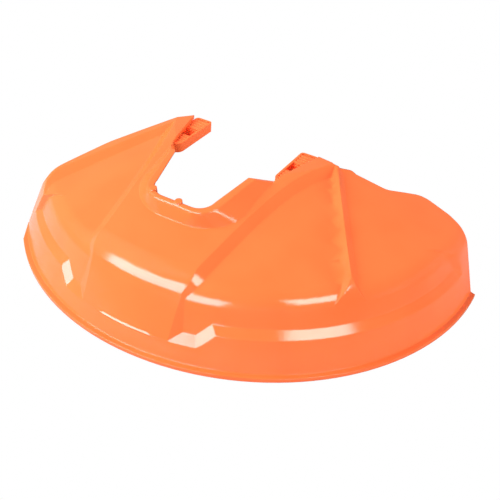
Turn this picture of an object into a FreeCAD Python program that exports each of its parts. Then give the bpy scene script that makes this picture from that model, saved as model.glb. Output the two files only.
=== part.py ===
"""Trimmer blade guard: a one-piece moulded plastic shell, open below.

Frame: the origin is midway between the two bolt holes, on the undersides of the mounting pads. +Z
points up, parallel to the blade's axis; the drive shaft runs over the raised middle towards -Y, and
the bolt holes lie on a line along X. The form is drawn about the blade's axis with the rim on Z = 0
and moved into this frame at the end. All sizes are in millimetres.
"""
import FreeCAD, Part
import math
import os
import Sketcher

Vector = FreeCAD.Vector
doc = FreeCAD.newDocument("blade_guard")

# Driving dimensions: name, value, what it is. A point's Y is given as a distance towards -Y
# where its name ends in "ahead", and towards +Y where it ends in "behind".
SIZES = [
    ("wall", 2.6, "thickness of the moulded shell"),
    ("cutter_span", 700, "size of the blocks that cut along a plane"),
    ("cavity_drop", 8, "depth by which the hollow runs out below the rim"),
    # Rim, skirt and the sloping band above it.
    ("rim_radius", 160, "outer radius of the lip"),
    ("lip_height", 2.6, "thickness of the lip"),
    ("lip_width", 3.2, "reach of the lip beyond the skirt"),
    ("step_low_height", 12.6, "skirt top in the middle of the front"),
    ("step_rise", 8.4, "how much higher the skirt's top is elsewhere"),
    ("skirt_setback", 6.8, "how far the skirt leans in up to its top"),
    ("band_setback", 4.7, "reach in plan of the sloping band above the skirt"),
    ("band_rise", 4.6, "height of the sloping band above the skirt"),
    ("wall_foot_setback", 1.4, "how far the upper wall's foot lies inside the skirt's top"),
    ("wall_foot_rise", 5.2, "height of the upper wall's foot above the skirt in the middle of the front"),
    ("band_depth", 12, "how far the band's solid reaches into the upper wall"),
    ("jog_tilt", 36, "upward tilt of the facets where the band steps down"),
    ("jog_reach", 125.7, "distance of those facets from the blade axis"),
    # Domed top: recessed fan panels and the raised level.
    ("fan_edge_setback", 9.4, "how far the upper wall leans in up to the fan panels' shoulder"),
    ("fan_edge_rise", 23.5, "height of that shoulder above the upper wall's foot"),
    ("fan_top_radius", 52, "inner end of the fan panels"),
    ("fan_top_rise", 26.1, "height of the fan panels' inner end above their shoulder"),
    ("fan_round", 17, "rounding of the fan panels' shoulder"),
    ("raised_rise", 4.7, "height of the raised shoulder above the fan panels' shoulder"),
    ("raised_top_radius", 58, "edge of the flat top"),
    ("raised_top_lift", 1.6, "height of the flat top above the fan panels' inner end"),
    ("raised_round", 17, "rounding of the raised shoulder"),
    ("raised_depth", 13, "how far the raised solid reaches down into the upper wall"),
    ("saddle_round", 20.5, "rounding of the saddle's shoulder"),
    ("saddle_foot_height", 13.2, "foot of the saddle's front wall"),
    # Ramps beside the saddle.
    ("ramp_rear_x", 47.0, "ramp crest at the rear"),
    ("ramp_rear_ahead", 40.2, "ramp crest at the rear"),
    ("ramp_front_x", 32.4, "ramp crest near the front"),
    ("ramp_front_ahead", 122.2, "ramp crest near the front"),
    ("ramp_width", 5.6, "width of the ramp in plan"),
    ("ramp_round", 18, "rounding of the ramp where it goes over the shoulder"),
    ("ramp_foot_turn", 30, "turn of the ramp's front facet from straight ahead"),
    ("ramp_foot_tilt", 22.4, "upward tilt of the ramp's front facet"),
    # Ribs that bound the fan panels.
    ("right_rib_x", 84.6, "point on the right rib's crest"),
    ("right_rib_ahead", 53.7, "point on the right rib's crest"),
    ("right_rib_turn", 32, "direction of the right rib from straight ahead"),
    ("right_rib_ramp", 42, "slope of the right rib's side to the fan panel"),
    ("right_rib_drop", 48, "slope of the right rib's rear side"),
    ("left_rib_x", 73.7, "point on the left rib's crest"),
    ("left_rib_ahead", 56.6, "point on the left rib's crest"),
    ("left_rib_turn", 35, "direction of the left rib from straight ahead"),
    ("left_rib_ramp", 26, "slope of the left rib's side to the fan panel"),
    # Outline in plan: arms, rounded ear at the right end, slanting left end.
    ("arm_rear_x", 46.5, "inner corner of the arms at the rear"),
    ("arm_rear_ahead", 12.1, "rear end of the arms"),
    ("arm_front_x", 37.4, "inner edge of the arms at the collar"),
    ("arm_front_ahead", 50, "front end of the arms' inner edge"),
    ("crest_notch_x", 60, "rear edge where the right rib's crest runs out"),
    ("crest_notch_ahead", 14.3, "rear edge where the right rib's crest runs out"),
    ("crest_foot_x", 67.5, "rear edge at the foot of the right rib"),
    ("crest_foot_ahead", 6.6, "rear edge at the foot of the right rib"),
    ("crest_notch_round", 6, "rounding of the rear edge beside the rib"),
    ("ear_root_x", 90.5, "where the rear edge turns out to the ear"),
    ("ear_root_ahead", 2, "where the rear edge turns out to the ear"),
    ("ear_crest_x", 109.5, "where the ear's rear edge begins"),
    ("ear_crest_behind", 15.2, "where the ear's rear edge begins"),
    ("ear_corner_x", 129, "where the ear's slanting end begins"),
    ("ear_corner_behind", 12.8, "where the ear's slanting end begins"),
    ("ear_lip_x", 160.6, "where the ear's slanting end meets the lip"),
    ("ear_lip_ahead", 0.2, "where the ear's slanting end meets the lip"),
    ("ear_root_round", 10, "rounding where the rear edge turns out"),
    ("ear_round", 13, "rounding of the ear's corners"),
    ("left_bend_x", 82.7, "first bend of the left end"),
    ("left_bend_ahead", 57.3, "first bend of the left end"),
    ("left_brow_x", 99.2, "second bend of the left end"),
    ("left_brow_ahead", 88.2, "second bend of the left end"),
    ("left_bend_round", 40, "rounding of those bends"),
    ("left_end_x", 101.5, "left end at the shoulder"),
    ("left_end_ahead", 99.5, "left end at the shoulder"),
    ("left_end_round", 4, "rounding at the shoulder"),
    ("left_lip_x", 119.6, "left end at the skirt's foot"),
    ("left_lip_ahead", 101.6, "left end at the skirt's foot"),
    ("lip_taper_x", 106, "where the lip's taper at the left end begins"),
    ("lip_taper_ahead", 121.5, "where the lip's taper at the left end begins"),
    ("outline_margin", 10, "how far the outline stands clear of the rim"),
    # Full-height skirt at both ends, beyond the recessed upper wall.
    ("right_stop_ahead", 9, "where the recessed wall stops at the right, on the skirt"),
    ("stop_bevel", 45, "slant of the recess's right end"),
    ("right_stop_reach", 40, "how far ahead the full-height right end may reach"),
    ("left_stop_ahead", 108, "where the recessed wall stops at the left"),
    ("left_stop_x", 50, "how far in the full-height left end may reach"),
    # Collar round the cut-out, in a plane that follows the saddle.
    ("collar_plane_drop", 3, "collar's base plane below the flat top, at the arms' front end"),
    ("collar_tilt", 10.85, "slope of the collar's base plane"),
    ("collar_height", 8, "height of the collar"),
    ("collar_rear_lean", 2.5, "how far the collar's rear ends lean in over its height"),
    ("collar_side_lean", 14.2, "how far the collar's sides lean in at the front corners"),
    ("collar_front_lean", 4.8, "how far the collar's front leans in over its height"),
    ("collar_rear_half", 42.1, "half width of the collar's base behind the arms"),
    ("collar_rear_reach", 40, "reach of the collar's base behind the arms' front end"),
    ("collar_front_half", 36.3, "half width of the collar's base at the front corners"),
    ("collar_front_reach", 56.4, "reach of the collar's base ahead of the arms' front end"),
    ("collar_round", 30, "corner rounding of the collar's base"),
    ("collar_top_round", 12.6, "corner rounding of the collar's top"),
    ("collar_brim_round", 1.6, "rounding along the collar's top edge"),
    ("collar_sink", 6, "how far the collar's solid runs below its base plane"),
    ("collar_clear", 3, "how far the hollow runs out above the collar"),
    ("collar_end_slope", 22, "slope of the collar's rear end"),
    ("tail_half", 36.6, "half width of the clear space above the collar's rear ends"),
    ("tail_length", 7.5, "length of that space"),
    ("lug_radius", 2.2, "radius of the small lugs inside the collar"),
    ("lug_stand", 0.8, "how far the lugs stand above the collar"),
    ("lug_length", 5, "length of the lugs"),
    ("lug_x", 1.5, "place of the front lug to the right of the middle"),
    # Mounting pads under the arms.
    ("pad_inner_x", 33.6, "inner side of the pads"),
    ("pad_width", 12, "width of the pads"),
    ("pad_rear_ahead", 9.3, "rear end of the pads"),
    ("pad_length", 39.5, "length of the pads"),
    ("pad_thickness", 6.4, "thickness of the pads"),
    ("pad_bite", 0.3, "overlap of the pads with the arms"),
    ("pad_round", 2.2, "rounding of the pads' rear corners"),
    ("pad_front_round", 5, "rounding of the pads' front corners"),
    ("hole_half_spacing", 39.2, "distance of the bolt holes from the middle"),
    ("hole_ahead", 29.5, "bolt holes ahead of the blade axis"),
    ("hole_radius", 2.8, "radius of the bolt holes"),
    ("recess_side", 8, "side of the square recess round a bolt hole"),
    ("recess_depth", 3, "depth of that recess"),
    ("tray_rim", 1.5, "width of the rim round a pad's sunken top"),
    ("tray_depth", 1.3, "depth of a pad's sunken top"),
    ("grip_width", 1.5, "width of the grip ribs on the pads"),
    ("grip_pitch", 3, "spacing of the grip ribs"),
    ("grip_drop", 0.2, "how far the grip ribs stay below the rim"),
    ("grip_bite", 0.3, "overlap of the grip ribs with the rim"),
    ("grip_end", 3.2, "distance of the first rib from a pad's end"),
    ("rear_grip_count", 4, "ribs behind the bolt hole"),
    ("front_grip_count", 4, "ribs ahead of the bolt hole"),
]

# Sizes that follow from the driving dimensions.
DERIVED = [
    ("skirt_foot_radius", "=rim_radius - lip_width"),
    ("step_high_radius", "=skirt_foot_radius - skirt_setback"),
    ("step_high_height", "=step_low_height + step_rise"),
    ("band_top_radius", "=step_high_radius - band_setback"),
    ("band_top_height", "=step_high_height + band_rise"),
    ("wall_foot_radius", "=step_high_radius - wall_foot_setback"),
    ("wall_foot_height", "=step_low_height + wall_foot_rise"),
    ("fan_edge_radius", "=wall_foot_radius - fan_edge_setback"),
    ("fan_edge_height", "=wall_foot_height + fan_edge_rise"),
    ("fan_top_height", "=fan_edge_height + fan_top_rise"),
    ("raised_top_height", "=fan_top_height + raised_top_lift"),
    ("collar_plane_height", "=raised_top_height - collar_plane_drop"),
    ("skirt_lean", "=(skirt_foot_radius - step_high_radius) / (step_high_height - lip_height)"),
    ("step_low_radius", "=skirt_foot_radius - (step_low_height - lip_height) * skirt_lean"),
    ("saddle_foot_radius", "=skirt_foot_radius - (saddle_foot_height - lip_height) * skirt_lean"),
    ("upper_wall_lean", "=(wall_foot_radius - fan_edge_radius) / (fan_edge_height - wall_foot_height)"),
    ("raised_edge_height", "=fan_edge_height + raised_rise"),
    ("raised_edge_radius", "=fan_edge_radius - raised_rise * upper_wall_lean"),
    ("raised_foot_height", "=raised_edge_height - raised_depth"),
    ("raised_foot_radius", "=raised_edge_radius + raised_depth * upper_wall_lean"),
    ("band_inner_radius", "=band_top_radius - band_depth"),
    ("fan_slope", "=(fan_top_height - fan_edge_height) / (fan_edge_radius - fan_top_radius)"),
    ("skirt_apex_radius", "=skirt_foot_radius + skirt_lean * lip_height"),
    ("end_drop", "=fan_slope * (skirt_apex_radius - fan_edge_radius)"),
    ("end_top_height", "=(fan_edge_height - end_drop) / (1 - fan_slope * skirt_lean)"),
    ("end_top_radius", "=skirt_apex_radius - end_top_height * skirt_lean"),
    ("raised_fall", "=raised_top_height - raised_edge_height"),
    ("raised_slope", "=raised_fall / (raised_edge_radius - raised_top_radius)"),
    ("crest_drop", "=raised_slope * (skirt_apex_radius - raised_edge_radius)"),
    ("crest_top_height", "=(raised_edge_height - crest_drop) / (1 - raised_slope * skirt_lean)"),
    ("crest_top_radius", "=skirt_apex_radius - crest_top_height * skirt_lean"),
    ("outline_reach", "=rim_radius + outline_margin"),
    ("outline_height", "=raised_top_height + collar_height + outline_margin"),
    ("pad_top", "=raised_top_height - wall + pad_bite"),
    ("pad_outer_x", "=pad_inner_x + pad_width"),
    ("pad_front_ahead", "=pad_rear_ahead + pad_length"),
    ("recess_inner_x", "=hole_half_spacing - recess_side / 2"),
    ("recess_outer_x", "=hole_half_spacing + recess_side / 2"),
    ("recess_rear_ahead", "=hole_ahead - recess_side / 2"),
    ("recess_front_ahead", "=hole_ahead + recess_side / 2"),
    ("tray_inner_x", "=pad_inner_x + tray_rim"),
    ("tray_outer_x", "=pad_outer_x - tray_rim"),
    ("tray_rear_ahead", "=pad_rear_ahead + tray_rim"),
    ("tray_front_ahead", "=pad_front_ahead - tray_rim"),
    ("tray_floor", "=pad_top - tray_depth"),
    ("tray_front_round", "=pad_front_round - tray_rim"),
    ("grip_inner_x", "=tray_inner_x - grip_bite"),
    ("grip_outer_x", "=tray_outer_x + grip_bite"),
    ("grip_height", "=tray_depth - grip_drop"),
    ("rear_grip_ahead", "=pad_rear_ahead + grip_end"),
    ("rear_grip_far", "=rear_grip_ahead + grip_width"),
    ("front_grip_far", "=pad_front_ahead - grip_end"),
    ("front_grip_ahead", "=front_grip_far - grip_width"),
    ("rear_grip_span", "=(rear_grip_count - 1) * grip_pitch"),
    ("front_grip_span", "=(front_grip_count - 1) * grip_pitch"),
]

sheet = doc.addObject("Spreadsheet::Sheet", "sizes")


def add_cells(rows, first):
    """Write named cells below each other."""
    for row, entry in enumerate(rows, start=first):
        sheet.set("A%d" % row, str(entry[1]))
        sheet.setAlias("A%d" % row, entry[0])
        if len(entry) > 2:
            sheet.set("B%d" % row, entry[2])


add_cells(SIZES, 1)
add_cells(DERIVED, len(SIZES) + 1)
doc.recompute()


def size(name):
    """Value of a cell; a leading minus sign turns it round, and None is zero."""
    if name is None:
        return 0.0
    if name.startswith("-"):
        return -float(sheet.get(name[1:]))
    return float(sheet.get(name))


def cell(name):
    """Expression that reads a cell."""
    if name.startswith("-"):
        return "-sizes." + name[1:]
    return "sizes." + name


# Sketch helper

def pin(sketch, geometry, position, names):
    """Hold a point of the sketch at the two named sizes."""
    origin = (-1, 1)
    for kind, name, axis in (("DistanceX", names[0], -2), ("DistanceY", names[1], -1)):
        if name is None:
            sketch.addConstraint(Sketcher.Constraint("PointOnObject", geometry, position, axis))
        else:
            index = sketch.addConstraint(
                Sketcher.Constraint(kind, origin[0], origin[1], geometry, position, size(name)))
            sketch.setExpression("Constraints[%d]" % index, cell(name))


def corner_arc(before, corner, after, radius):
    """Start, middle and end of the arc that rounds a corner between two points."""
    back, forth = (before - corner).normalize(), (after - corner).normalize()
    half = back.getAngle(forth) / 2
    setback = radius / math.tan(half)
    centre = corner + (back + forth).normalize() * (radius / math.sin(half))
    middle = centre + (corner - centre).normalize() * radius
    return corner + back * setback, middle, corner + forth * setback


def closed_sketch(name, corners, placement=None, rounds=None, body=None):
    """Closed outline of straight lines through named corners, some of them rounded by tangent arcs."""
    rounds = rounds or {}
    if body is None:
        sketch = doc.addObject("Sketcher::SketchObject", name)
    else:
        sketch = body.newObject("Sketcher::SketchObject", name)
    if placement is not None:
        sketch.Placement = placement
    points = [Vector(size(x), size(y), 0) for x, y in corners]
    count = len(points)
    starts, ends, arcs = [], [], {}
    for k, point in enumerate(points):
        if k in rounds:
            first, middle, last = corner_arc(points[k - 1], point, points[(k + 1) % count], size(rounds[k]))
            arcs[k] = Part.Arc(first, middle, last)
            ends.append(first)
            starts.append(last)
        else:
            ends.append(point)
            starts.append(point)
    lines = [sketch.addGeometry(Part.LineSegment(starts[k], ends[(k + 1) % count]), False)
             for k in range(count)]
    for k, names in enumerate(corners):
        previous = lines[k - 1]
        if k not in rounds:
            sketch.addConstraint(Sketcher.Constraint("Coincident", previous, 2, lines[k], 1))
            pin(sketch, lines[k], 1, names)
            continue
        arc = sketch.addGeometry(arcs[k], False)
        arc_start = sketch.getPoint(arc, 1)
        near_first = arc_start.distanceToPoint(ends[k]) < arc_start.distanceToPoint(starts[k])
        first_end, last_end = (1, 2) if near_first else (2, 1)
        corner = sketch.addGeometry(Part.Point(points[k]), True)
        pin(sketch, corner, 1, names)
        sketch.addConstraint(Sketcher.Constraint("PointOnObject", corner, 1, previous))
        sketch.addConstraint(Sketcher.Constraint("PointOnObject", corner, 1, lines[k]))
        sketch.addConstraint(Sketcher.Constraint("Tangent", previous, 2, arc, first_end))
        sketch.addConstraint(Sketcher.Constraint("Tangent", arc, last_end, lines[k], 1))
        index = sketch.addConstraint(Sketcher.Constraint("Radius", arc, size(rounds[k])))
        sketch.setExpression("Constraints[%d]" % index, cell(rounds[k]))
    return sketch


# Turned solids: each is the outer form and the same section set in by the wall, which is the hollow.

UPRIGHT = FreeCAD.Placement(Vector(0, 0, 0), FreeCAD.Rotation(Vector(1, 0, 0), 90))


def turned(name, section):
    """Solid of revolution of a section about the blade's axis."""
    solid = doc.addObject("Part::Revolution", name)
    solid.Source = section
    solid.Axis = Vector(0, 0, 1)
    solid.Base = Vector(0, 0, 0)
    solid.Angle = 360
    solid.Solid = True
    return solid


def turned_pair(name, corners, rounds=None):
    """Outer solid and hollow of one turned form."""
    section = closed_sketch(name + "_section", corners, UPRIGHT, rounds)
    inset = doc.addObject("Part::Offset2D", name + "_inset")
    inset.Source = section
    inset.Join = "Intersection"
    inset.setExpression("Value", "-sizes.wall")
    return turned(name + "_outer", section), turned(name + "_hollow", inset)


dome = turned_pair("dome", [
    (None, "-cavity_drop"),
    ("rim_radius", "-cavity_drop"),
    ("rim_radius", "lip_height"),
    ("skirt_foot_radius", "lip_height"),
    ("step_low_radius", "step_low_height"),
    ("wall_foot_radius", "wall_foot_height"),
    ("fan_edge_radius", "fan_edge_height"),
    ("fan_top_radius", "fan_top_height"),
    (None, "fan_top_height"),
], {6: "fan_round"})

band = turned_pair("band", [
    ("band_inner_radius", "lip_height"),
    ("skirt_foot_radius", "lip_height"),
    ("step_high_radius", "step_high_height"),
    ("band_top_radius", "band_top_height"),
    ("band_inner_radius", "band_top_height"),
])

raised = turned_pair("raised", [
    (None, "raised_foot_height"),
    ("raised_foot_radius", "raised_foot_height"),
    ("raised_edge_radius", "raised_edge_height"),
    ("raised_top_radius", "raised_top_height"),
    (None, "raised_top_height"),
], {2: "raised_round"})

saddle = turned_pair("saddle", [
    (None, "lip_height"),
    ("skirt_foot_radius", "lip_height"),
    ("saddle_foot_radius", "saddle_foot_height"),
    ("raised_edge_radius", "raised_edge_height"),
    ("raised_top_radius", "raised_top_height"),
    (None, "raised_top_height"),
], {3: "saddle_round"})

end = turned_pair("end", [
    (None, "lip_height"),
    ("skirt_foot_radius", "lip_height"),
    ("end_top_radius", "end_top_height"),
    ("fan_top_radius", "fan_top_height"),
    (None, "fan_top_height"),
], {2: "fan_round"})

crest = turned_pair("crest", [
    (None, "lip_height"),
    ("skirt_foot_radius", "lip_height"),
    ("crest_top_radius", "crest_top_height"),
    ("raised_top_radius", "raised_top_height"),
    (None, "raised_top_height"),
], {2: "raised_round"})

# Planes that cut the turned solids

def half_space(name, point, normal):
    """Block that fills the side of a plane that the normal points away from."""
    block = doc.addObject("Part::Box", name)
    for side in ("Length", "Width", "Height"):
        block.setExpression(side, "sizes.cutter_span")
    span = size("cutter_span")
    turn = FreeCAD.Rotation(Vector(0, 0, 1), normal)
    corner = point - turn.multVec(Vector(span / 2, span / 2, span))
    block.Placement = FreeCAD.Placement(corner, turn)
    return block


def common(name, shapes):
    """Intersection of several solids."""
    result = doc.addObject("Part::MultiCommon", name)
    result.Shapes = shapes
    return result


def fused(name, shapes):
    """Union of several solids."""
    result = doc.addObject("Part::MultiFuse", name)
    result.Shapes = shapes
    result.Refine = False
    return result


def raised_height(x, y):
    """Height of the raised level above a point in plan."""
    return size("raised_top_height") - size("raised_slope") * max(math.hypot(x, y) - size("raised_top_radius"), 0)


def fan_height(x, y):
    """Height of the fan panels above a point in plan."""
    return size("fan_top_height") - size("fan_slope") * max(math.hypot(x, y) - size("fan_top_radius"), 0)


# Planes of the band's steps, the ramps and the ribs, each as a point and an outward normal.
tilt = math.radians(size("jog_tilt"))
jog_normal = Vector(0, -math.cos(tilt), math.sin(tilt))
jog_plane = (jog_normal * size("jog_reach"), jog_normal)

bevel = math.radians(size("stop_bevel"))
right_stops = [(Vector(size("step_high_radius"), size("-right_stop_ahead"), 0),
                Vector(math.sin(bevel), -math.cos(bevel), 0)),
               (Vector(0, size("-right_stop_reach"), 0), Vector(0, -1, 0))]
left_stops = [(Vector(0, size("-left_stop_ahead"), 0), Vector(0, -1, 0)),
              (Vector(size("-left_stop_x"), 0, 0), Vector(1, 0, 0))]

rear_x, rear_y = size("ramp_rear_x"), size("-ramp_rear_ahead")
front_x, front_y = size("ramp_front_x"), size("-ramp_front_ahead")
crest_rear = Vector(rear_x, rear_y, raised_height(rear_x, rear_y))
crest_front = Vector(front_x, front_y, raised_height(front_x, front_y))
along = Vector(front_x - rear_x, front_y - rear_y, 0).normalize()
aside = Vector(-along.y, along.x, 0)
foot = crest_front + aside * size("ramp_width")
foot.z = fan_height(foot.x, foot.y)
ramp_normal = (foot - crest_front).cross(crest_rear - crest_front).normalize()
if ramp_normal.z < 0:
    ramp_normal = -ramp_normal
ramp_plane = (crest_front, ramp_normal)

# The ramp's front facet meets the saddle's shoulder on the crest line.
reach = size("raised_edge_radius")
run = along.dot(crest_front)
offset = crest_front - along * run
shoulder = (Vector(offset.x, offset.y, 0)
            + along * math.sqrt(reach ** 2 - offset.x ** 2 - offset.y ** 2))
shoulder.z = size("raised_edge_height")
turn, tilt = math.radians(size("ramp_foot_turn")), math.radians(size("ramp_foot_tilt"))
facet_normal = Vector(math.sin(turn) * math.cos(tilt), -math.cos(turn) * math.cos(tilt), math.sin(tilt))
facet_plane = (shoulder, facet_normal)


def rib_plane(x, y, turn, slope, side):
    """Plane through a rib's crest line that falls to one side at a slope."""
    heading = Vector(math.sin(turn), -math.cos(turn), 0)
    point = Vector(x, y, raised_height(x, y))
    fall = size("raised_slope") * (heading.x * x + heading.y * y) / math.hypot(x, y)
    line = Vector(heading.x, heading.y, -fall).normalize()
    across = Vector(-heading.y, heading.x, 0) * side
    upward = line.cross(across)
    if upward.z < 0:
        upward = -upward
    return point, upward * math.cos(slope) + across * math.sin(slope)


right_turn, left_turn = math.radians(size("right_rib_turn")), -math.radians(size("left_rib_turn"))
right_x, right_y = size("right_rib_x"), size("-right_rib_ahead")
right_fan_plane = rib_plane(right_x, right_y, right_turn, math.radians(size("right_rib_ramp")), -1)
right_rear_plane = rib_plane(right_x, right_y, right_turn, math.radians(size("right_rib_drop")), 1)
left_fan_plane = rib_plane(size("-left_rib_x"), size("-left_rib_ahead"), left_turn,
                           math.radians(size("left_rib_ramp")), 1)


# Collar round the cut-out: sections parallel to a tilted plane, joined by a loft.

# Distance below which a point counts as lying on a plane.
NEAR = 1e-4
COLLAR_BASE = Vector(0, size("-arm_front_ahead"), size("collar_plane_height"))


def collar_corners(inset, level):
    """Corners and corner radius of the collar at a level above its base plane, set in by a distance."""
    rise = level / size("collar_height")
    rear = size("collar_rear_half") - inset - rise * size("collar_rear_lean")
    front = size("collar_front_half") - inset - rise * size("collar_side_lean")
    tip = size("collar_front_reach") - inset - rise * size("collar_front_lean")
    corners = [Vector(rear, size("collar_rear_reach"), 0), Vector(front, -tip, 0),
               Vector(-front, -tip, 0), Vector(-rear, size("collar_rear_reach"), 0)]
    return corners, size("collar_round") * (1 - rise) + size("collar_top_round") * rise - inset


def collar_loft(name, inset, low, high):
    """Leaning collar solid between two levels above its base plane, set in by a distance."""
    tilt = FreeCAD.Rotation(Vector(1, 0, 0), size("collar_tilt"))
    sections = []
    for level, tag in ((low, "low"), (high, "high")):
        section = doc.addObject("Part::Feature", name + "_" + tag)
        section.Shape = rounded_front(*collar_corners(inset, level))
        section.Placement = FreeCAD.Placement(COLLAR_BASE + tilt.multVec(Vector(0, 0, level)), tilt)
        sections.append(section)
    loft = doc.addObject("Part::Loft", name)
    loft.Sections = sections
    loft.Solid = True
    loft.Ruled = True
    return loft


def on_collar_top(edge):
    """Whether an edge runs along the collar's top, ahead of its open rear side."""
    tilt = math.radians(size("collar_tilt"))
    normal = Vector(0, -math.sin(tilt), math.cos(tilt))
    ends = [vertex.Point - COLLAR_BASE for vertex in edge.Vertexes]
    level = all(abs(end.dot(normal) - size("collar_height")) < NEAR for end in ends)
    return level and min(end.y for end in ends) < 0


def rounded_front(corners, radius):
    """Closed wire through four corners, the second and third rounded."""
    rear_right, front_right, front_left, rear_left = corners
    edges = []
    start = rear_right
    for corner, after in ((front_right, front_left), (front_left, rear_left)):
        first, middle, last = corner_arc(start, corner, after, radius)
        edges.append(Part.makeLine(start, first))
        edges.append(Part.Arc(first, middle, last).toShape())
        start = last
    edges.append(Part.makeLine(start, rear_left))
    edges.append(Part.makeLine(rear_left, rear_right))
    return Part.Wire(edges)


# Outer form and hollow, built alike: the hollow's planes lie one wall deeper.

def ramp_tool(name, depth, radius):
    """Wedge that bounds the saddle on the right, its crease rounded."""
    planes = (ramp_plane, facet_plane)
    blocks = [half_space("%s_%d" % (name, k), point - normal * depth, normal)
              for k, (point, normal) in enumerate(planes)]
    wedge = common(name + "_wedge", blocks)
    doc.recompute()
    crease = []
    for number, edge in enumerate(wedge.Shape.Edges, start=1):
        middle = edge.valueAt((edge.FirstParameter + edge.LastParameter) / 2)
        gaps = [abs((middle - point).dot(normal) + depth) for point, normal in planes]
        if max(gaps) < NEAR:
            crease.append((number, radius, radius))
    rounded = doc.addObject("Part::Fillet", name)
    rounded.Base = wedge
    rounded.Edges = crease
    mirrored = doc.addObject("Part::Mirroring", name + "_mirrored")
    mirrored.Source = rounded
    mirrored.Base = Vector(0, 0, 0)
    mirrored.Normal = Vector(1, 0, 0)
    return rounded, mirrored


def cut_by(name, solid, planes, depth):
    """Part of a solid behind one or more planes."""
    blocks = [half_space("%s_%d" % (name, k), point - normal * depth, normal)
              for k, (point, normal) in enumerate(planes)]
    return common(name, [solid] + blocks)


def form(name, layer, depth, collar):
    """Outer form (layer 0) or hollow (layer 1) of the whole guard."""
    right_tool, left_tool = ramp_tool(name + "_ramp", depth, size("ramp_round") - depth)
    return fused(name, [
        dome[layer],
        cut_by(name + "_band", band[layer], [jog_plane], depth),
        common(name + "_saddle", [saddle[layer], right_tool, left_tool]),
        cut_by(name + "_right_rib", raised[layer], [right_fan_plane, right_rear_plane], depth),
        cut_by(name + "_left_rib", raised[layer], [left_fan_plane], depth),
        cut_by(name + "_right_end", end[layer], right_stops, depth),
        cut_by(name + "_left_end", end[layer], left_stops, depth),
        cut_by(name + "_left_crest", crest[layer], left_stops + [left_fan_plane], depth),
        collar,
    ])


slope = math.radians(size("collar_end_slope"))
collar_end = (COLLAR_BASE, Vector(0, math.sin(slope), math.cos(slope)))
arm_line = (COLLAR_BASE, Vector(0, 1, 0))
collar_block = collar_loft("collar_block", 0, -size("collar_sink"), size("collar_height"))
doc.recompute()
collar_round = doc.addObject("Part::Fillet", "collar_round")
collar_round.Base = collar_block
collar_round.Edges = [(number, size("collar_brim_round"), size("collar_brim_round"))
                      for number, edge in enumerate(collar_block.Shape.Edges, start=1)
                      if on_collar_top(edge)]
collar = cut_by("collar", collar_round, [collar_end, arm_line], 0)
opening = collar_loft("collar_opening", size("wall"),
                      -size("collar_sink"), size("collar_height") + size("collar_clear"))
outer = form("outer", 0, 0, collar)
hollow = form("hollow", 1, size("wall"), opening)
shell = doc.addObject("Part::Cut", "shell")
shell.Base = outer
shell.Tool = hollow
doc.recompute()

# Plan outline with the gap between the arms.
outline = closed_sketch("outline", [
    ("-arm_rear_x", "-arm_rear_ahead"),
    ("-left_bend_x", "-left_bend_ahead"),
    ("-left_brow_x", "-left_brow_ahead"),
    ("-left_end_x", "-left_end_ahead"),
    ("-left_lip_x", "-left_lip_ahead"),
    ("-lip_taper_x", "-lip_taper_ahead"),
    ("-outline_reach", "-outline_reach"),
    ("outline_reach", "-outline_reach"),
    ("outline_reach", "-ear_lip_ahead"),
    ("ear_lip_x", "-ear_lip_ahead"),
    ("ear_corner_x", "ear_corner_behind"),
    ("ear_crest_x", "ear_crest_behind"),
    ("ear_root_x", "-ear_root_ahead"),
    ("crest_foot_x", "-crest_foot_ahead"),
    ("crest_notch_x", "-crest_notch_ahead"),
    ("arm_rear_x", "-arm_rear_ahead"),
    ("arm_front_x", "-arm_front_ahead"),
    ("-arm_front_x", "-arm_front_ahead"),
], rounds={1: "left_bend_round", 2: "left_bend_round", 3: "left_end_round", 10: "ear_round",
           11: "ear_round", 12: "ear_root_round", 13: "crest_notch_round", 14: "crest_notch_round"})
trim = doc.addObject("Part::Extrusion", "trim")
trim.Base = outline
trim.Dir = Vector(0, 0, 1)
trim.DirMode = "Custom"
trim.Solid = True
trim.setExpression("LengthFwd", "sizes.outline_height")
trimmed = common("trimmed", [shell, trim])

# The collar's rear ends slope down between the arms, so nothing stands above them there.
tail_block = doc.addObject("Part::Box", "tail_block")
tail_block.setExpression("Length", "2 * sizes.tail_half")
tail_block.setExpression("Width", "sizes.tail_length")
tail_block.setExpression("Height", "sizes.outline_height")
tail_block.setExpression("Placement.Base.x", "-sizes.tail_half")
tail_block.setExpression("Placement.Base.y", "-sizes.arm_front_ahead - sizes.tail_length")
above_tail = half_space("above_tail", collar_end[0], -collar_end[1])
tail_cutter = common("tail_cutter", [tail_block, above_tail])
cleared = doc.addObject("Part::Cut", "cleared")
cleared.Base = trimmed
cleared.Tool = tail_cutter
doc.recompute()

# Two small lugs on the collar's inner face: one at the front, one in the left corner.
inner_corners, inner_radius = collar_corners(size("wall"), size("collar_height"))
lug_places = {"front_lug": Vector(size("lug_x"), inner_corners[1].y, 0),
              "corner_lug": corner_arc(*inner_corners[1:], inner_radius)[1]}
lean = FreeCAD.Rotation(Vector(1, 0, 0), size("collar_tilt"))
# Each lug's seam faces the gap, clear of the collar's wall.
seam_turn = FreeCAD.Rotation(Vector(1, 0, 0), Vector(0, 1, 0))
lugs = []
for name, spot in lug_places.items():
    lug = doc.addObject("Part::Cylinder", name)
    lug.setExpression("Radius", "sizes.lug_radius")
    lug.setExpression("Height", "sizes.lug_length")
    spot.z = size("collar_height") + size("lug_stand") - size("lug_length")
    lug.Placement = FreeCAD.Placement(COLLAR_BASE + lean.multVec(spot), lean * seam_turn)
    lugs.append(lug)

# Mounting pad under the right arm, mirrored for the left one.
pad_body = doc.addObject("PartDesign::Body", "pad_body")
plan_plane = [f for f in pad_body.Origin.OriginFeatures if f.Role == "XY_Plane"][0]
across_axis = [f for f in pad_body.Origin.OriginFeatures if f.Role == "Y_Axis"][0]


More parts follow.
